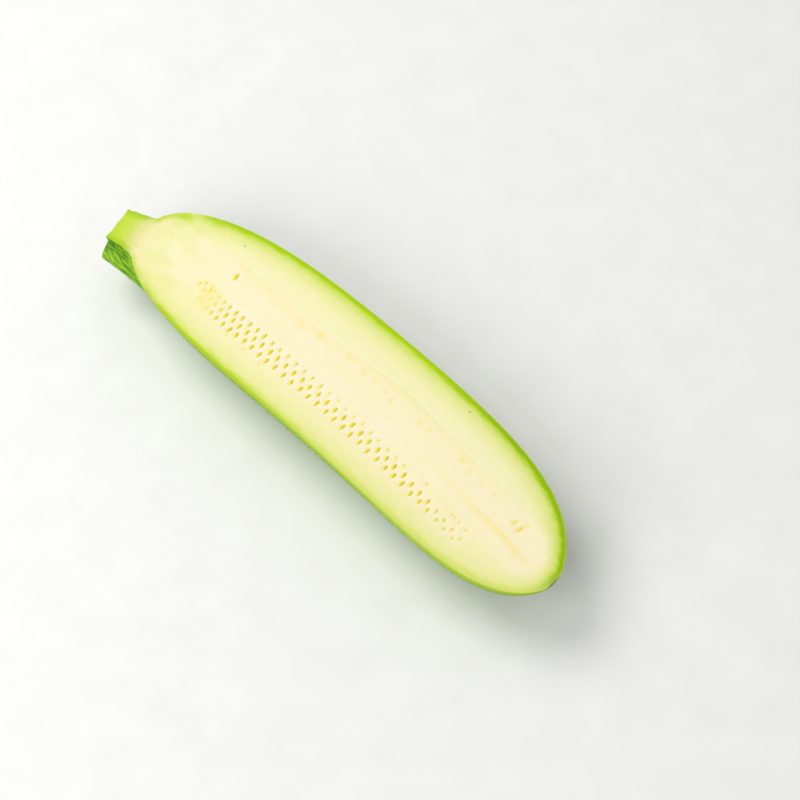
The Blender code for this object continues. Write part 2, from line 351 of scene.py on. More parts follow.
def seed_x(number):
    """Where a seed stands along its row. Every second row is half a number on."""
    opened = SEED_OPENING * (1 - math.exp(-number / SEED_OPENING))
    return SEED_START_X + SEED_END_PITCH * number - (SEED_END_PITCH - SEED_START_PITCH) * opened


def band_y(x):
    """The middle of the seed band, which rises towards the stem and falls towards the blossom end."""
    if x < SEED_BAND_X:
        return SEED_BAND_Y + SEED_RISE * ((SEED_BAND_X - x) / (SEED_BAND_X - SEED_START_X)) ** 2
    return SEED_BAND_Y - SEED_FALL * ((x - SEED_BAND_X) / (SEED_END_X - SEED_BAND_X)) ** 3


def seed_places():
    """(x, y, tilt, size, row) of the solid's seeds, and of the faint ones that go on its top row."""
    draw = random.Random(RANDOM_SEED)
    places = []
    for row in range(SEED_ROWS):
        end = SEED_END_X if row < SEED_ROWS - 1 else FAINT_ROW_END_X
        number = (row % 2) / 2
        while seed_x(number) < end:
            x = seed_x(number)
            along = (x - SEED_START_X) / (SEED_END_X - SEED_START_X)
            gap = SEED_START_GAP + (SEED_END_GAP - SEED_START_GAP) * along**3
            shift_x, shift_y = (draw.uniform(-SEED_SHAKE, SEED_SHAKE) for _ in range(2))
            tilt = draw.uniform(-SEED_TILT, SEED_TILT)
            inner = min(min(x - SEED_START_X, SEED_END_X - x) / SEED_TAPER, 1)
            size = SEED_END_SIZE + (1 - SEED_END_SIZE) * inner
            size += draw.uniform(-SEED_SIZE_SHAKE, SEED_SIZE_SHAKE)
            y = band_y(x) + (row - (SEED_ROWS - 1) / 2) * gap
            places.append((x + shift_x, y + shift_y, tilt, size, row))
            number += 1
    places.append((*LONE_SEED, SEED_TILT, LONE_SEED_SIZE, SEED_ROWS))
    return places


def grid_faces(rows, width, first_tip, last_tip):
    """The faces of a closed loft of rings, with a fan to a tip at either end, and each face's column."""
    faces, columns = [], []
    for row in range(rows - 1):
        for column in range(width):
            after = (column + 1) % width
            near, far = row * width, (row + 1) * width
            faces.append((near + column, far + column, far + after, near + after))
            columns.append(column)
    last = (rows - 1) * width
    for column in range(width):
        after = (column + 1) % width
        faces.append((first_tip, column, after))
        faces.append((last_tip, last + after, last + column))
        columns += [column, column]
    return faces, columns


def add_piece(name, shape, attributes, looks, replaced=()):
    """A closed mesh with vector attributes, in its place on the frame."""
    points, faces = shape
    materials, slots, sharp_angle = looks
    mesh = bpy.data.meshes.new(name)
    mesh.from_pydata(points, [], faces)
    for attribute_name, values in attributes.items():
        layer = mesh.attributes.new(attribute_name, "FLOAT_VECTOR", "POINT")
        layer.data.foreach_set("vector", np.asarray(values, np.float32).ravel())
    for material in materials:
        mesh.materials.append(material)
    mesh.polygons.foreach_set("material_index", slots)
    mesh.shade_smooth()
    mesh.set_sharp_from_angle(angle=sharp_angle)
    piece = bpy.data.objects.new(name, mesh)
    bpy.context.scene.collection.objects.link(piece)
    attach(piece, "root")
    if replaced:
        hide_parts(*replaced)


def tone(red, green, blue):
    """A colour from 0 to 255 as the scene's light shows it, as the linear colour that a shader takes."""
    shares = (red / 255, green / 255, blue / 255)
    linear = (c / 12.92 if c <= 0.04045 else ((c + 0.055) / 1.055) ** 2.4 for c in shares)
    return (*(max(LIGHT_SHARE * (c - SHEEN), DARKEST) for c in linear), 1)


def node(tree, kind, inputs=None, **settings):
    """A new shader node. Each input is a number, a colour or the socket that feeds it."""
    made = tree.nodes.new("ShaderNode" + kind)
    for name, value in settings.items():
        setattr(made, name, value)
    for key, value in (inputs or {}).items():
        if isinstance(value, bpy.types.NodeSocket):
            tree.links.new(value, made.inputs[key])
        else:
            made.inputs[key].default_value = value
    return made


def calc(tree, operation, first, second=0.0, third=0.0):
    """The result of a maths node."""
    inputs = {0: first, 1: second, 2: third}
    return node(tree, "Math", inputs, operation=operation).outputs[0]


def times(tree, first, second):
    """Two values multiplied."""
    return calc(tree, "MULTIPLY", first, second)


def swing(tree, value, reach, around):
    """around, moved by up to half of reach either way as value goes from 0 to 1."""
    return calc(tree, "MULTIPLY_ADD", calc(tree, "SUBTRACT", value, 0.5), reach, around)


def spread(tree, value, low, high, to_low=0.0, to_high=1.0):
    """value mapped smoothly from low..high to to_low..to_high."""
    inputs = {"Value": value, "From Min": low, "From Max": high, "To Min": to_low, "To Max": to_high}
    return node(tree, "MapRange", inputs, interpolation_type="SMOOTHSTEP").outputs[0]


def blend(tree, factor, first, second):
    """Two colours mixed."""
    return node(tree, "Mix", {0: factor, 6: first, 7: second}, data_type="RGBA").outputs[2]


def tint(tree, colour, shown, mask, strength=1.0):
    """A colour mixed towards a shown tone, by a mask and a strength."""
    return blend(tree, times(tree, mask, strength), colour, tone(*shown))


def ramp(tree, value, stops, span=1.0):
    """A colour ramp over 0..span. Each stop is a value and the tone shown there."""
    made = node(tree, "ValToRGB", {0: calc(tree, "DIVIDE", value, span)})
    elements = made.color_ramp.elements
    while len(elements) < len(stops):
        elements.new(1)
    for element, (position, shown) in zip(elements, stops):
        element.position = position / span
        element.color = tone(*shown)
    return made.outputs[0]


def attribute(tree, name):
    """A vector attribute of the mesh, and its three parts."""
    vector = node(tree, "Attribute", attribute_name=name).outputs["Vector"]
    return vector, node(tree, "SeparateXYZ", {0: vector}).outputs


def stretch(tree, vector, scales):
    """A vector with each part multiplied by its own scale."""
    return node(tree, "VectorMath", {0: vector, 1: scales}, operation="MULTIPLY").outputs[0]


def in_millimetres(tree):
    """The object's own coordinates, in millimetres."""
    return stretch(tree, node(tree, "TexCoord").outputs["Object"], (1 / MM,) * 3)


def grainy(tree, vector, scales, detail, roughness=0.5):
    """Noise from 0 to 1."""
    inputs = {"Vector": stretch(tree, vector, scales), "Scale": 1.0, "Detail": detail, "Roughness": roughness}
    return node(tree, "TexNoise", inputs).outputs[0]


def spots(tree, vector, scales, share, largest, smallest=0.02):
    """A mask of round spots in this share of the vector's cells, with radii up to the largest, in cells."""
    cell = node(tree, "TexVoronoi", {"Vector": stretch(tree, vector, scales), "Scale": 1.0}).outputs
    chance = node(tree, "SeparateColor", {0: cell["Color"]}).outputs[0]
    radius = spread(tree, chance, 1.0 - share, 1.0, smallest, largest)
    return spread(tree, calc(tree, "DIVIDE", cell["Distance"], radius), SPOT_OUTER, SPOT_INNER)


def line(tree, along, across, at, width, from_x, to_x, fade=12.0):
    """1 on a lengthwise line of the cut and 0 off it, between two places along it, in millimetres."""
    off = calc(tree, "ABSOLUTE", calc(tree, "SUBTRACT", across, at))
    beside = spread(tree, off, width, 0.0)
    begun = spread(tree, along, from_x, from_x + fade)
    ended = spread(tree, along, to_x, to_x - fade)
    return times(tree, beside, times(tree, begun, ended))


def bump(tree, height, distance):
    """A normal from the height of a fine texture."""
    return node(tree, "Bump", {"Height": height, "Distance": distance, "Strength": 1.0}).outputs[0]


def new_material(name, **values):
    """A Principled material, with constants on its own sockets."""
    material = bpy.data.materials.new(name)
    material.use_nodes = True
    tree = material.node_tree
    shader = tree.nodes["Principled BSDF"]
    for key, value in values.items():
        shader.inputs[key.replace("_", " ")].default_value = value
    return material, tree, shader


def wire(tree, shader, colour, roughness=None, normal=None):
    """Feeds a shader its colour, and its roughness and normal where they are given."""
    tree.links.new(colour, shader.inputs["Base Color"])
    if roughness is not None:
        tree.links.new(roughness, shader.inputs["Roughness"])
    if normal is not None:
        tree.links.new(normal, shader.inputs["Normal"])


def seat_tones(tree, place, depth):
    """The fibrous colour of the cut on both sides of the stem's seat, by how far past it a point lies."""
    fibres = grainy(tree, place, (0.16, 1.4, 0.0), 5.0, 0.65)
    clouds = grainy(tree, place, (0.2, 0.3, 0.0), 3.0)
    shift = swing(tree, clouds, 4.0, swing(tree, fibres, 7.0, depth))
    return ramp(tree, calc(tree, "SUBTRACT", shift, SEAT_START), SEAT_STOPS, SEAT_SPAN)


def flesh_places(tree):
    """What is known of each place on the cut: distances in millimetres, and shares in ripe and mark."""
    face, (along, across, rim) = attribute(tree, "face")
    _, (seat, seed, ripe) = attribute(tree, "near")
    _, (vein, middle, mark) = attribute(tree, "drawn")
    bent = swing(tree, grainy(tree, face, (0.05, 0.0, 0.0), 3.0), 1.6, across)
    return SimpleNamespace(
        face=face, along=along, across=across, bent=bent, rim=rim,
        seat=seat, seed=seed, ripe=ripe, vein=vein, middle=middle, mark=mark,
    )


def flesh_rims(tree, at):
    """The lime rims, which fade inwards: the high one greener, the low one paler towards both ends."""
    waver = grainy(tree, at.face, (0.13, 0.45, 0.0), 4.0, 0.65)
    depth = swing(tree, waver, spread(tree, at.rim, 0.0, 2.5, 0.5, 3.2), at.rim)
    by_rim = spread(tree, at.rim, 2.6, 0.8)
    high = ramp(tree, depth, HIGH_RIM_STOPS, RIM_SPAN)
    high_end = ramp(tree, depth, HIGH_END_RIM_STOPS, RIM_SPAN)
    high = blend(tree, spread(tree, at.along, 15.0, 70.0), high, high_end)
    high = tint(tree, high, (214, 232, 92), spread(tree, at.along, -80.0, -93.0, 0.0, 0.6), by_rim)
    low = ramp(tree, depth, LOW_RIM_STOPS, RIM_SPAN)
    by_stem = spread(tree, at.along, -74.0, -88.0, 0.0, 0.5)
    by_ends = calc(tree, "ADD", spread(tree, at.along, -40.0, 40.0, 0.0, 0.6), by_stem)
    low = tint(tree, low, (234, 235, 144), by_ends, by_rim)
    return blend(tree, spread(tree, at.across, -12.0, 6.0), low, high)


def flesh_core(tree, at, colour):
    """The cream core between the veins, with soft lighter and greener clouds."""
    between = times(tree, spread(tree, at.bent, -11.5, -6.5), spread(tree, at.bent, 12.0, 8.5))
    inside = times(tree, between, spread(tree, at.rim, 4.0, 9.0))
    from_stem = spread(tree, at.along, -90.0, -62.0, 0.25, 0.85)
    colour = tint(tree, colour, (255, 244, 205), inside, from_stem)
    clouds = grainy(tree, at.face, (0.05, 0.13, 0.0), 4.0, 0.6)
    colour = tint(tree, colour, (255, 248, 220), spread(tree, clouds, 0.5, 0.75, 0.0, 0.5), inside)
    off_rim = spread(tree, at.rim, 2.0, 6.0)
    return tint(tree, colour, (244, 242, 178), spread(tree, clouds, 0.48, 0.3, 0.0, 0.3), off_rim)


def flesh_fibres(tree, at, colour, fibres):
    """Fine light and dark fibres along the fruit, which fade out by the rims."""
    inward = spread(tree, at.rim, 0.8, 4.0, 0.1, 1.0)
    colour = tint(tree, colour, (255, 252, 228), spread(tree, fibres, 0.52, 0.72, 0.0, 0.3), inward)
    return tint(tree, colour, (246, 232, 150), spread(tree, fibres, 0.46, 0.28, 0.0, 0.2), inward)


def flesh_veins(tree, at, colour):
    """The vein with its yellow and pale sides, the pale line along the middle, and the end's streak."""
    broken = spread(tree, grainy(tree, at.face, (0.3, 0.6, 0.0), 4.0, 0.7), 0.35, 0.6, 0.25, 1.0)
    yellow = line(tree, at.along, at.vein, -1.4, 2.6, VEIN_START, VEIN_END)
    colour = tint(tree, colour, (253, 240, 168), yellow, 0.35)
    vein = times(tree, line(tree, at.along, at.vein, 0.0, 0.55, VEIN_START, VEIN_END), broken)
    colour = tint(tree, colour, (248, 232, 134), vein, 0.4)
    pale = times(tree, line(tree, at.along, at.vein, 1.1, 0.8, PALE_START, VEIN_END), broken)
    colour = tint(tree, colour, (255, 254, 226), pale, 0.3)
    middle = times(tree, line(tree, at.along, at.middle, 0.0, 1.2, PALE_START, MIDDLE_END), broken)
    colour = tint(tree, colour, (255, 251, 230), middle, 0.4)
    streak = line(tree, at.along, at.bent, -2.4, 2.6, STREAK_START, STREAK_END, STREAK_FADE)
    return tint(tree, colour, (255, 236, 150), streak, spread(tree, at.along, 50.0, 92.0, 0.22, 0.65))


def flesh_marks(tree, at, colour):
    """The soft yellow spots, faint and ragged along the vein and stronger at its far end."""
    ragged = grainy(tree, at.face, (0.6, 1.0, 0.0), 3.0, 0.6)
    at_end = spread(tree, at.along, 78.0, 84.0)
    marked = swing(tree, ragged, spread(tree, at_end, 0.0, 1.0, 2.0, 0.5), at.mark)
    strength = spread(tree, at_end, 0.0, 1.0, 0.5, 0.9)
    return tint(tree, colour, (254, 231, 112), spread(tree, marked, 1.1, -0.1), strength)


def flesh_by_seeds(tree, at, colour):
    """The yellower flesh round the first seeds, and the pale halo and yellow foot of each ripe one."""
    young = times(tree, spread(tree, at.seed, 1.9, 0.4), spread(tree, at.along, -46.0, -57.0))
    colour = tint(tree, colour, (253, 239, 130), young, 0.65)
    halo = times(tree, spread(tree, at.seed, 2.2, 1.1), at.ripe)
    colour = tint(tree, colour, (255, 243, 226), halo, 0.65)
    foot = times(tree, spread(tree, at.seed, 1.15, 0.7), at.ripe)
    return tint(tree, colour, (248, 234, 120), foot, 0.6)


def flesh_by_stem(tree, at, colour, place):
    """The green patches near the stem, and the fibrous tones by its seat."""
    patches = spread(tree, grainy(tree, at.face, (0.1, 0.15, 0.0), 1.0), 0.4, 0.64)
    near = times(tree, spread(tree, at.seat, 3.0, 8.0), spread(tree, at.seat, 32.0, 16.0))
    colour = tint(tree, colour, (236, 240, 156), times(tree, patches, near), 0.5)
    by_stem = times(tree, spread(tree, at.seat, 10.0, 3.0), spread(tree, at.rim, 0.3, 3.0))
    return blend(tree, by_stem, colour, seat_tones(tree, place, at.seat))


def flesh_material():
    """The cut flesh: lime rims that fade inwards, a cream core between its veins, and fine fibres."""
    material, tree, shader = new_material("cut flesh", Specular_IOR_Level=0.12, **MOIST)
    at = flesh_places(tree)
    fibres = grainy(tree, at.face, (0.07, 1.5, 0.0), 5.0, 0.65)
    colour = flesh_core(tree, at, flesh_rims(tree, at))
    colour = flesh_fibres(tree, at, colour, fibres)
    colour = flesh_marks(tree, at, flesh_veins(tree, at, colour))
    colour = flesh_by_seeds(tree, at, colour)
    colour = flesh_by_stem(tree, at, colour, in_millimetres(tree))

    wet = grainy(tree, at.face, (0.9,) * 3, 3.0)
    pores = grainy(tree, at.face, (3.2,) * 3, 3.0, 0.6)
    surface = calc(tree, "MULTIPLY_ADD", pores, 0.6, fibres)
    wire(tree, shader, colour, spread(tree, wet, 0.3, 0.7, 0.42, 0.58), bump(tree, surface, 0.05 * MM))
    return material


def skin_material():
    """The skin: greens in lengthwise stripes, with fine pale flecks that stretch into streaks by the stem."""
    material, tree, shader = new_material("skin", Specular_IOR_Level=0.3)
    skin, (along, _, below) = attribute(tree, "skin")
    place = in_millimetres(tree)

    stripes = grainy(tree, skin, (0.012, 0.16, 0.0), 3.0, 0.55)
    mottle = grainy(tree, place, (0.25, 0.6, 0.6), 4.0, 0.65)
    mixed = calc(tree, "MULTIPLY_ADD", mottle, 0.6, times(tree, stripes, 0.7))
    colour = ramp(tree, mixed, SKIN_STOPS)
    colour = tint(tree, colour, (164, 204, 30), spread(tree, along, -72.0, -99.0), 0.5)
    # Painted light: the skin just below the cut is lightened towards lime, so that this sideways-facing strip
    # shows as bright as the lit cut face
    edge = spread(tree, calc(tree, "MULTIPLY_ADD", mottle, 2.0, below), 7.0, 1.0)
    colour = tint(tree, colour, (184, 218, 28), edge, 0.8)

    fine = spots(tree, place, (0.9, 1.25, 1.25), 1.0, 0.48, 0.24)
    large = spots(tree, place, (0.27, 0.45, 0.45), 0.3, 0.24)
    streaks = spots(tree, skin, (0.25, 1.1, 0.0), 0.85, 0.4)
    by_stem = spread(tree, along, -62.0, -84.0)
    away = calc(tree, "SUBTRACT", 1.0, times(tree, by_stem, 0.6))
    inner = times(tree, away, spread(tree, below, 0.5, 5.0, 0.3, 1.0))
    colour = tint(tree, colour, (206, 232, 84), times(tree, fine, inner), 0.8)
    colour = tint(tree, colour, (220, 240, 120), times(tree, large, inner), 0.75)
    colour = tint(tree, colour, (206, 232, 96), times(tree, streaks, by_stem), 0.7)

    roughness = calc(tree, "MULTIPLY_ADD", edge, 0.3, spread(tree, mottle, 0.3, 0.7, 0.34, 0.46))
    raised = calc(tree, "MULTIPLY_ADD", fine, 0.4, mottle)
    wire(tree, shader, colour, roughness, bump(tree, raised, 0.06 * MM))
    return material


def scar_material():
    """The corky scar where the blossom fell off."""
    material, tree, shader = new_material("blossom scar", Roughness=0.75)
    cork = grainy(tree, in_millimetres(tree), (1.4,) * 3, 4.0, 0.65)
    wire(tree, shader, ramp(tree, cork, SCAR_STOPS), None, bump(tree, cork, 0.15 * MM))
    return material


def seed_material():
    """The young seeds: amber at heart and pale at the edge, and paler still where they aren't ripe."""
    glossy = {"Coat_Weight": 0.1, "Coat_Roughness": 0.25, "Specular_IOR_Level": 0.3}
    material, tree, shader = new_material("seed", **glossy)
    _, (outward, ripe, dark) = attribute(tree, "lens")
    speckle = grainy(tree, in_millimetres(tree), (1.8,) * 3, 3.0)
    colour = ramp(tree, swing(tree, speckle, 0.3, outward), SEED_STOPS)
    colour = tint(tree, colour, (226, 160, 20), spread(tree, speckle, 0.55, 0.75, 0.0, 0.4))
    colour = blend(tree, ripe, tone(251, 236, 146), colour)
    colour = tint(tree, colour, (96, 92, 30), dark)
    roughness = spread(tree, speckle, 0.3, 0.7, 0.3, 0.45)
    wire(tree, shader, colour, roughness, bump(tree, speckle, 0.03 * MM))
    return material


def rind_material():
    """The stem's rind: ribbed green, with painted shade darkening its grooves, short pale flecks, and lighter
    at its base.
    """
    material, tree, shader = new_material("stem rind", Specular_IOR_Level=0.25)
    rind, (before_seat, _, crest) = attribute(tree, "rind")
    _, (_, _, painted_groove_shade) = attribute(tree, "cut")
    grain = grainy(tree, rind, (0.22, 1.3, 0.0), 4.0, 0.65)
    patches = grainy(tree, rind, (0.3, 0.45, 0.0), 3.0, 0.6)
    mixed = calc(tree, "MULTIPLY_ADD", grain, 0.6, times(tree, patches, 0.5))
    mixed = calc(tree, "MULTIPLY_ADD", crest, 0.05, mixed)
    # Painted shade: the colour darkens with the depth of the rib grooves
    mixed = calc(tree, "MULTIPLY_ADD", painted_groove_shade, -0.16, mixed)
    colour = ramp(tree, mixed, RIND_STOPS)
    flecks = spots(tree, rind, (0.6, 1.3, 0.0), 0.7, 0.38)
    colour = tint(tree, colour, (172, 216, 112), flecks, 0.6)
    streaks = spots(tree, rind, (0.35, 1.5, 1.0), 0.6, 0.36)
    colour = tint(tree, colour, (62, 110, 0), streaks, 0.6)
    colour = tint(tree, colour, (150, 196, 30), spread(tree, before_seat, 3.5, 0.0), 0.45)
    roughness = spread(tree, grain, 0.3, 0.7, 0.5, 0.65)
    raised = calc(tree, "MULTIPLY_ADD", flecks, 0.4, grain)
    wire(tree, shader, colour, roughness, bump(tree, raised, 0.22 * MM))
    return material


def pith_material():
    """The stem's cut face: fibrous lime that pales towards the fruit, with a stronger green by the rind."""
    material, tree, shader = new_material("stem pith", Specular_IOR_Level=0.2, **MOIST)
    place = in_millimetres(tree)
    _, (before_seat, _, _) = attribute(tree, "rind")
    _, (_, rim, _) = attribute(tree, "cut")
    fibres = grainy(tree, place, (0.13, 1.3, 0.0), 5.0, 0.65)
    colour = seat_tones(tree, place, times(tree, before_seat, -1.0))
    ragged = swing(tree, fibres, 2.5, rim)
    band = times(tree, spread(tree, ragged, 3.4, 1.0), spread(tree, before_seat, -1.0, 4.0, 0.2, 1.0))
    colour = tint(tree, colour, (174, 211, 40), band, 0.9)
    colour = tint(tree, colour, (118, 166, 14), spread(tree, rim, 0.45, 0.05), 0.7)
    roughness = spread(tree, fibres, 0.3, 0.7, 0.42, 0.58)
    wire(tree, shader, colour, roughness, bump(tree, fibres, 0.1 * MM))
    return material


def stem_end_material():
    """The cut-off end of the stem: pale pith, a ring of darker bundles and a green rind, a little dried."""
    material, tree, shader = new_material("stem end", Roughness=0.7)
    place = in_millimetres(tree)
    _, (outward, _, _) = attribute(tree, "cut")
    cork = grainy(tree, place, (0.72, 1.2, 1.2), 5.0, 0.7)
    colour = ramp(tree, swing(tree, cork, 0.12, outward), STEM_END_STOPS)
    ring = times(tree, spread(tree, outward, 0.4, 0.55), spread(tree, outward, 0.85, 0.75))
    bundles = times(tree, ring, spots(tree, place, (0.1, 0.6, 0.6), 0.7, 0.4))
    colour = tint(tree, colour, (134, 158, 40), bundles, 0.6)
    dried = spread(tree, cork, 0.5, 0.3, 0.0, 0.6)
    colour = tint(tree, colour, (158, 160, 66), dried, spread(tree, outward, 0.95, 0.8))
    wire(tree, shader, colour, None, bump(tree, cork, 0.3 * MM))
    return material


def floor_material():
    """A plain pale floor with a trace of tooth."""
    material, tree, shader = new_material("floor", Roughness=0.6)
    tooth = grainy(tree, node(tree, "TexCoord").outputs["Object"], (60.0,) * 3, 3.0)
    wire(tree, shader, ramp(tree, tooth, FLOOR_STOPS))
    return material


def stem_centre(along):
    """(y, z) of the stem's middle, from its cut end (along = 0) to its base (along = 1)."""
    return tuple(end + (base - end) * along for end, base in zip(STEM_END_CENTRE, STEM_BASE_CENTRE))


def seat_x(y, z):
    """Where the fruit's own surface lies at (y, z), on its stem side, found in a few rounds."""
    x = WIDEST_X - STEM_REACH
    for _ in range(SEAT_ROUNDS):
        off_y, off_z = y - axis_y(x), AXIS_Z - z
        radius = math.hypot(off_y, off_z) / facet(x, math.atan2(off_z, off_y))
        x = WIDEST_X - reach_of(radius, *STEM_CURVE)
    return x


def crest_of(angle):
    """1 on the stem's ridges and 0 in the valleys between them."""
    return 0.5 + 0.5 * math.cos(STEM_RIDGES * (angle - RIDGE_ANGLE))


def noise_round(angle, along, turn_scale, along_scale):
    """Smooth noise over the stem, from about -1 to 1."""
    y, z = turn_scale * math.cos(angle), turn_scale * math.sin(angle)
    return noise.noise(Vector((y, z, along_scale * along)))


def groove(along, angle):
    """How deep the stem is grooved between its fine ribs, from 0 to 1."""
    waver = noise_round(angle, along, *RIB_WAVER_SCALES)
    deepest = min(RIB_SHALLOW + RIB_DEEPER * abs(waver), 1)
    return (0.5 - 0.5 * math.cos(STEM_RIBS * angle + RIB_WAVER * waver)) * deepest


def stem_radius(along, angle):
    """The stem's own radius: ridges, ribs between them and small bumps, all inside the solid's surface."""
    flare = along**STEM_FLARE
    valley = STEM_END_VALLEY + (STEM_BASE_VALLEY - STEM_END_VALLEY) * flare
    ridge = STEM_END_RIDGE + (STEM_BASE_RIDGE - STEM_END_RIDGE) * flare
    rough = 0.5 + 0.5 * noise_round(angle, along, *STEM_BUMP_SCALES)
    inset = STEM_INSET + STEM_RIB_DEPTH * groove(along, angle) + STEM_BUMPS * rough
    return valley + (ridge - valley) * crest_of(angle) - inset


def stem_section(along):
    """One half ring of the stem, at its full size."""

    def radius_at(angle):
        return stem_radius(along, angle)

    return section(stem_centre(along), radius_at, STEM_ARC_STEPS, STEM_FACE_STEPS)


def stem_x(along, y, z, scale):
    """How far along X a point of the stem lies, from its slanted, dished end to the fruit, and its seat."""
    end_x = STEM_END_X + STEM_END_SLANT * (y - STEM_END_CENTRE[0]) + STEM_END_DISH * (1 - scale)
    seat = seat_x(y, z)
    return end_x + (seat + STEM_ROOT - end_x) * along, seat


def end_roughness(y, z, scale):
    """How far the stem's cut end is sunk at (y, z), which fades out by its edge."""
    rough = noise.noise(Vector((y / MM * END_ROUGH_SCALE, z / MM * END_ROUGH_SCALE, END_ROUGH_SLICE)))
    return END_ROUGH_DEPTH * (0.5 + 0.5 * rough) * min((1 - scale) * END_ROUGH_FADE, 1)


def stem_row(along, shrink):
    """One ring of the stem: its points, and what its materials need to know of each."""
    centre_y, centre_z = stem_centre(along)
    ring = stem_section(along)
    first_y, last_y = ring[0][0], ring[STEM_ARC_STEPS][0]
    points, rind, cut = [], [], []
    for column, (y, z, angle) in enumerate(ring):
        scale = 1
        if column > STEM_ARC_STEPS:
            angle = math.atan2(centre_z - z, y - centre_y)
            scale = min(math.hypot(y - centre_y, z - centre_z) / stem_radius(along, angle), 1)
        y = centre_y + (y - centre_y) * shrink
        z = centre_z + (z - centre_z) * shrink
        x, seat = stem_x(along, y, z, scale * shrink)
        if along == 0:
            x += end_roughness(y, z, scale * shrink)
        rim = min(abs(y - first_y), abs(y - last_y))
        points.append((x, y, z))
        rind.append(((seat - x) / MM, angle * STEM_TURN_SCALE, crest_of(angle)))
        cut.append((scale * shrink, rim / MM, groove(along, angle)))
    return points, rind, cut


def stem_piece():
    """The stem, halved with the fruit."""
    shrinks = [(step + 1) / (STEM_CAP_STEPS + 1) for step in range(STEM_CAP_STEPS)]
    order = [(0, shrink) for shrink in shrinks]
    order += [(step / STEM_STATIONS, 1) for step in range(STEM_STATIONS + 1)]
    order += [(1, shrink) for shrink in reversed(shrinks)]
    points, rind, cut = [], [], []
    for along, shrink in order:
        for whole, part in zip((points, rind, cut), stem_row(along, shrink)):
            whole += part
    for along in (0, 1):
        for whole, part in zip((points, rind, cut), stem_row(along, 0)):
            whole.append(part[0])
    width = STEM_ARC_STEPS + STEM_FACE_STEPS
    faces, columns = grid_faces(len(order), width, len(points) - 2, len(points) - 1)
    cap = STEM_CAP_STEPS * width
    slots = []
    for number, (face, column) in enumerate(zip(faces, columns)):
        at_end = number < cap or face[0] == len(points) - 2
        slots.append(2 if at_end else int(column >= STEM_ARC_STEPS))
    attributes = {"rind": rind, "cut": cut}
    looks = ([rind_material(), pith_material(), stem_end_material()], slots, SHARP_ANGLE)
    add_piece("zucchini_stem", (points, faces), attributes, looks, ["stem"])


def fine_line(corners):
    """A line through the corners, in steps of OUTLINE_STEP."""
    points = []
    for (x, y), (next_x, next_y) in zip(corners, corners[1:]):
        steps = max(1, round(math.hypot(next_x - x, next_y - y) / OUTLINE_STEP))
        for step in range(steps):
            points.append((x + (next_x - x) * step / steps, y + (next_y - y) * step / steps))
    return points


def nearest_of(points):
    """A search tree over points on the cut."""
    tree = kdtree.KDTree(len(points))
    for index, (x, y) in enumerate(points):
        tree.insert((x, y, 0), index)
    tree.balance()
    return tree


def lift_of(ripe):
    """How much of a ripe seed's relief a less ripe one has."""
    return YOUNG_LIFT + (1 - YOUNG_LIFT) * ripe


def relief(x, y, rim, seat, seed, ripe):
    """How far the cut face lies above or below the knife's cut. By the stem's seat it is level."""
    height = LIP_HEIGHT * math.exp(-rim / LIP_WIDTH) - DISH_DEPTH * ease(rim, DISH_START, DISH_END)
    height -= PIT_DEPTH * lift_of(ripe) * (1 - ease(seed, PIT_FLOOR, PIT_REACH))
    for amount, size in FACE_BUMPS:
        bumps = noise.noise(Vector((x / MM / size, y / MM / size, size)))
        height += amount * bumps * ease(rim, 0, FACE_BUMPS_START)
    return height * ease(seat, 0, SEAT_LEVEL) - SEAT_STEP * (1 - ease(seat, 0, SEAT_LEVEL))


def fruit_section(x, shape_x, share):
    """A half ring of the fruit at x, with this share of the size it has at shape_x."""
    width = half_width(shape_x)

    def radius_at(angle):
        return share * (width * facet(shape_x, angle) - SKIN_INSET)

    return x, section((axis_y(shape_x), AXIS_Z), radius_at, ARC_STEPS, FACE_STEPS)


def fruit_rows():
    """The fruit's rings: (x, section) from the stem to the blossom end, then down into its scar."""
    start_x = WIDEST_X - reach_of(FIRST_RING * CUT_DROP, *STEM_CURVE)
    last_x = WIDEST_X + reach_of(SCAR_RADIUS, *BLOSSOM_CURVE) - SKIN_INSET
    middle, span = (start_x + last_x) / 2, (last_x - start_x) / 2
    rows = []
    for step in range(FRUIT_STATIONS + 1):
        x = middle - span * math.cos(math.pi * step / FRUIT_STATIONS)
        rows.append(fruit_section(x, x, 1))
    smallest = LAST_RING * CUT_DROP / SCAR_RADIUS
    for step in range(1, SCAR_STEPS + 1):
        share = 1 - (1 - smallest) * step / SCAR_STEPS
        x = last_x - SCAR_DEPTH * (1 - share**SCAR_FULLNESS)
        rows.append(fruit_section(x, rows[FRUIT_STATIONS][0], share))
    return rows


def cut_outline(rows):
    """The outline of the cut as two lists of points: those free of the stem's seat, and those on it."""
    high_edge = [(x, ring[0][0]) for x, ring in rows[: FRUIT_STATIONS + 1]]
    low_edge = [(x, ring[ARC_STEPS][0]) for x, ring in rows[: FRUIT_STATIONS + 1]]
    outline = fine_line(high_edge[::-1] + low_edge) + fine_line([high_edge[-1], low_edge[-1]])
    seat = stem_section(1)
    high_y, low_y = seat[0][0], seat[STEM_ARC_STEPS][0]
    free, seated = [], []
    for x, y in outline:
        on_seat = x < WIDEST_X and low_y < y < high_y
        (seated if on_seat else free).append((x, y))
    return free, seated


def drawn_on_cut(along, across):
    """How far a place on the cut lies from the vein and from the pale middle line, in millimetres."""
    vein = VEIN_ACROSS
    for swell, at, width in VEIN_SWELLS:
        vein += swell * math.exp(-(((along - at) / width) ** 2))
    return across - vein, across - MIDDLE_ACROSS - MIDDLE_SLOPE * along


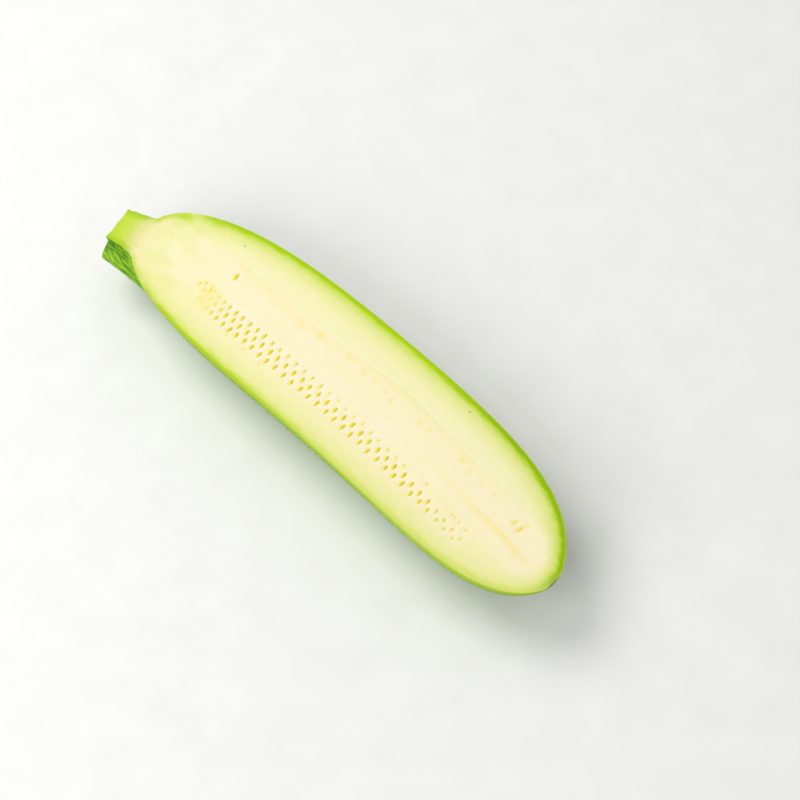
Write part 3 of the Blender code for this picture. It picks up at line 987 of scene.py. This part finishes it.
def fruit_points(rows, seeds):
    """The fruit's points, ring by ring and then its two tips, and what its materials need to know of each."""
    rim_tree, seat_tree = (nearest_of(part) for part in cut_outline(rows))
    pale_seeds = [seed for seed in seeds if not seed.dark]
    seed_tree = nearest_of([(seed.x, seed.y * SEED_STRETCH) for seed in pale_seeds])
    mark_tree = nearest_of([(x * MM, y * MM) for x, y, _ in SOFT_MARKS])
    points, skin, face, near, drawn = [], [], [], [], []

    def add(x, y, z, angle, on_cut):
        rim = rim_tree.find((x, y, 0))[2] if on_cut else 0
        seat = seat_tree.find((x, y, 0))[2]
        _, nearest, to_seed = seed_tree.find((x, y * SEED_STRETCH, 0))
        _, mark, to_mark = mark_tree.find((x, y, 0))
        ripe = pale_seeds[nearest].ripe
        height = CUT_Z + relief(x, y, rim, seat, to_seed, ripe) if on_cut else max(z, 0)
        along, across = x / MM, (y - axis_y(x)) / MM
        points.append((x, y, height))
        skin.append((along, (angle - QUARTER) * SKIN_TURN_SCALE, (CUT_Z - z) / MM))
        face.append((along, across, rim / MM))
        near.append((seat / MM, to_seed / MM, ripe))
        drawn.append((*drawn_on_cut(along, across), to_mark / MM / SOFT_MARKS[mark][2]))

    for x, ring in rows:
        for column, (y, z, angle) in enumerate(ring):
            add(x, y, z, angle, column == 0 or column >= ARC_STEPS)
    first_x = WIDEST_X - reach_of(CUT_DROP, *STEM_CURVE)
    add(first_x, axis_y(first_x), CUT_Z, 0, True)
    last_x, last_ring = rows[-1]
    add(last_x - SCAR_TIP, last_ring[0][0] / 2 + last_ring[ARC_STEPS][0] / 2, CUT_Z, 0, True)
    return points, {"skin": skin, "face": face, "near": near, "drawn": drawn}


def fruit_piece(seeds):
    """The fruit: its skin, its cut flesh and its scar, as one closed body."""
    rows = fruit_rows()
    points, attributes = fruit_points(rows, seeds)
    width = ARC_STEPS + FACE_STEPS
    faces, columns = grid_faces(len(rows), width, len(points) - 2, len(points) - 1)
    in_scar = FRUIT_STATIONS * width
    slots = []
    for number, column in enumerate(columns):
        if column >= ARC_STEPS:
            slots.append(1)
        else:
            slots.append(2 if number >= in_scar and faces[number][0] != len(points) - 2 else 0)
    looks = ([skin_material(), flesh_material(), scar_material()], slots, SHARP_ANGLE)
    add_piece("zucchini_fruit", (points, faces), attributes, looks, ["fruit"])


def lens_ring(seed, share, height):
    """One ring of a seed's pointed lens, with this share of its full size."""
    turn_x, turn_y = math.cos(seed.tilt), math.sin(seed.tilt)
    ring = []
    for side in range(LENS_SIDES):
        turn = math.tau * side / LENS_SIDES
        across = math.copysign(abs(math.cos(turn)) ** LENS_POINT, math.cos(turn)) * seed.width / 2 * share
        along = math.sin(turn) * seed.length / 2 * share
        x = seed.x + across * turn_x - along * turn_y
        y = seed.y + across * turn_y + along * turn_x
        ring.append((x, y, height))
    return ring


def seeds_piece(seeds):
    """Every seed, as a pointed lens set in its pit."""
    points, faces, lens = [], [], []
    rings = LENS_RINGS + 2
    for seed in seeds:
        start = len(points)
        lift = lift_of(seed.ripe)
        level = CUT_Z - YOUNG_SINK * (1 - lift)
        dome = [step / LENS_RINGS for step in range(1, LENS_RINGS + 1)]
        heights = [lift * (LENS_SKIRT + LENS_HEIGHT * (1 - share**2) ** LENS_DOME) for share in dome]
        heights += [LENS_SKIRT + LENS_ROOT / 2, LENS_ROOT]
        points.append((seed.x, seed.y, level + lift * (LENS_SKIRT + LENS_HEIGHT)))
        lens.append((0, seed.ripe, seed.dark))
        for share, height in zip(dome + [1, LENS_ROOT_SHARE], heights):
            points += lens_ring(seed, share, level + height)
            lens += [(share, seed.ripe, seed.dark)] * LENS_SIDES
        points.append((seed.x, seed.y, level + LENS_ROOT))
        lens.append((1, seed.ripe, seed.dark))
        ring_faces, _ = grid_faces(rings, LENS_SIDES, -1, rings * LENS_SIDES)
        faces += [tuple(start + 1 + corner for corner in face) for face in ring_faces]
    looks = ([seed_material()], [0] * len(faces), math.pi)
    add_piece("zucchini_seeds", (points, faces), {"lens": lens}, looks)


def seed_list():
    """Every seed that the scene has, with the faint and stray ones that the solid leaves out."""
    draw = random.Random(RANDOM_SEED + 1)
    seeds = []
    for x, y, tilt, size, row in seed_places():
        ripe = (UNRIPE + (1 - UNRIPE) * ease(x, *RIPENING)) * (1 - PALING_LOSS * ease(x, *PALING))
        size *= 1 - SHRINKING_LOSS * ease(x, *SHRINKING)
        if row == SEED_ROWS - 1:
            ripe *= TOP_RIPE - TOP_FIRST_LOSS * ease(x, *TOP_FIRST) - TOP_SECOND_LOSS * ease(x, *TOP_SECOND)
            size *= 1 - TOP_SHRINKING * ease(x, *TOP_FIRST)
        if row == SEED_ROWS:
            ripe = LONE_SEED_RIPE
        ripe *= draw.uniform(*RIPE_RANGE)
        width = LENS_WIDTH * size * draw.uniform(*WIDTH_RANGE)
        length = LENS_LENGTH * size * draw.uniform(*LENGTH_RANGE)
        seeds.append(Seed(x, y, tilt, length, width, ripe, 0))
    for x, y, turn, length, width, ripe, dark in STRAY_SEEDS:
        seeds.append(Seed(x * MM, y * MM, math.radians(turn), length * MM, width * MM, ripe, dark))
    return seeds


def soft_light(name, place, size, watts, colour):
    """A large soft area light that faces the origin."""
    light = bpy.data.lights.new(name, "AREA")
    light.shape = "DISK"
    light.size = size
    light.energy = watts
    light.color = colour
    holder = bpy.data.objects.new(name, light)
    holder.location = place
    holder.rotation_euler = (-Vector(place)).to_track_quat("-Z", "Y").to_euler()
    bpy.context.scene.collection.objects.link(holder)


def studio():
    """A plain pale floor, a bright even surround, and soft lamps."""
    floor = bpy.data.meshes.new("floor")
    half = FLOOR_SIZE / 2
    corners = [(-half, -half, 0), (half, -half, 0), (half, half, 0), (-half, half, 0)]
    floor.from_pydata(corners, [], [(0, 1, 2, 3)])
    floor.materials.append(floor_material())
    sheet = bpy.data.objects.new("floor", floor)
    bpy.context.scene.collection.objects.link(sheet)

    world = bpy.data.worlds.new("surround")
    world.use_nodes = True
    background = world.node_tree.nodes["Background"]
    background.inputs["Color"].default_value = (1, 1, 1, 1)
    background.inputs["Strength"].default_value = SURROUND
    bpy.context.scene.world = world

    soft_light("key", KEY_PLACE, KEY_SIZE, KEY_WATTS, KEY_COLOUR)
    soft_light("fill", FILL_PLACE, FILL_SIZE, FILL_WATTS, FILL_COLOUR)


def camera():
    """The camera, at the photograph's viewing angle."""
    lens = bpy.data.cameras.new("camera")
    lens.lens, lens.sensor_width = CAMERA_LENS, CAMERA_SENSOR
    lens.clip_start = CAMERA_NEAR
    holder = bpy.data.objects.new("camera", lens)
    level = math.cos(CAMERA_ELEVATION)
    ahead, aside = math.cos(CAMERA_AZIMUTH), math.sin(CAMERA_AZIMUTH)
    away = Vector((aside * level, -ahead * level, math.sin(CAMERA_ELEVATION)))
    holder.location = Vector(AIM) + away * CAMERA_DISTANCE
    holder.rotation_euler = (-away).to_track_quat("-Z", "Y").to_euler()
    bpy.context.scene.collection.objects.link(holder)
    bpy.context.scene.camera = holder


all_seeds = seed_list()
fruit_piece(all_seeds)
seeds_piece(all_seeds)
stem_piece()
studio()
camera()
bpy.context.scene.view_settings.view_transform = "Standard"
